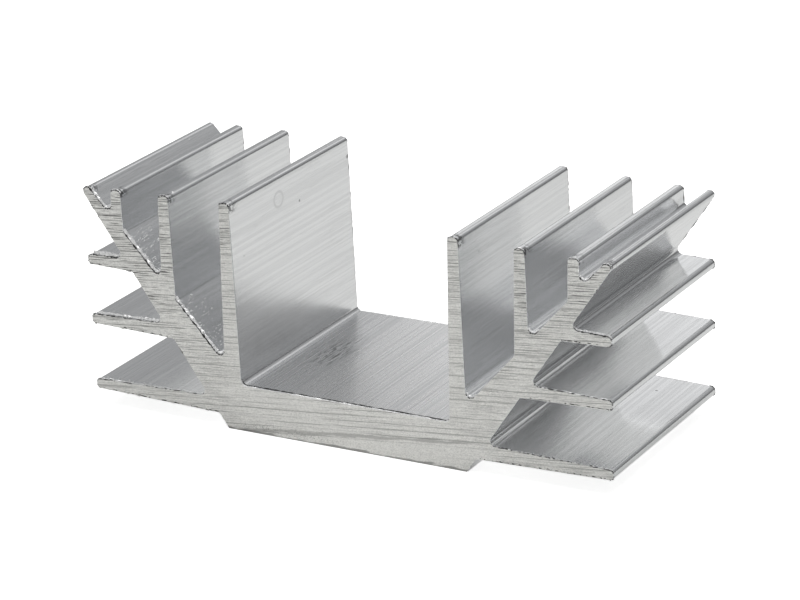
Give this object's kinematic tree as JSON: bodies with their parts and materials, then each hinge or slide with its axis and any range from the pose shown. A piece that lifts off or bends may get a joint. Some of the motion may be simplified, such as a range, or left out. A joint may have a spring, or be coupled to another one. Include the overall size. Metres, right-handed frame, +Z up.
{
  "type": "heat sink",
  "caption": "Aluminium channel heat sink: a flat floor between leaning wings that carry upright fins above and side fins below, cut from extruded stock.",
  "frame": {"origin": "middle of the underside of the pad, at the lowest point of the part", "axes": "+X across the width, +Y along the extrusion, +Z up out of the channel"},
  "size_m": [0.1, 0.04, 0.0409],
  "materials": {
    "aluminium": "mill finish, with fine drawing lines along the extrusion and saw-cut ends"
  },
  "bodies": {
    "root": {"heat_sink": "aluminium"}
  },
  "joints": []
}
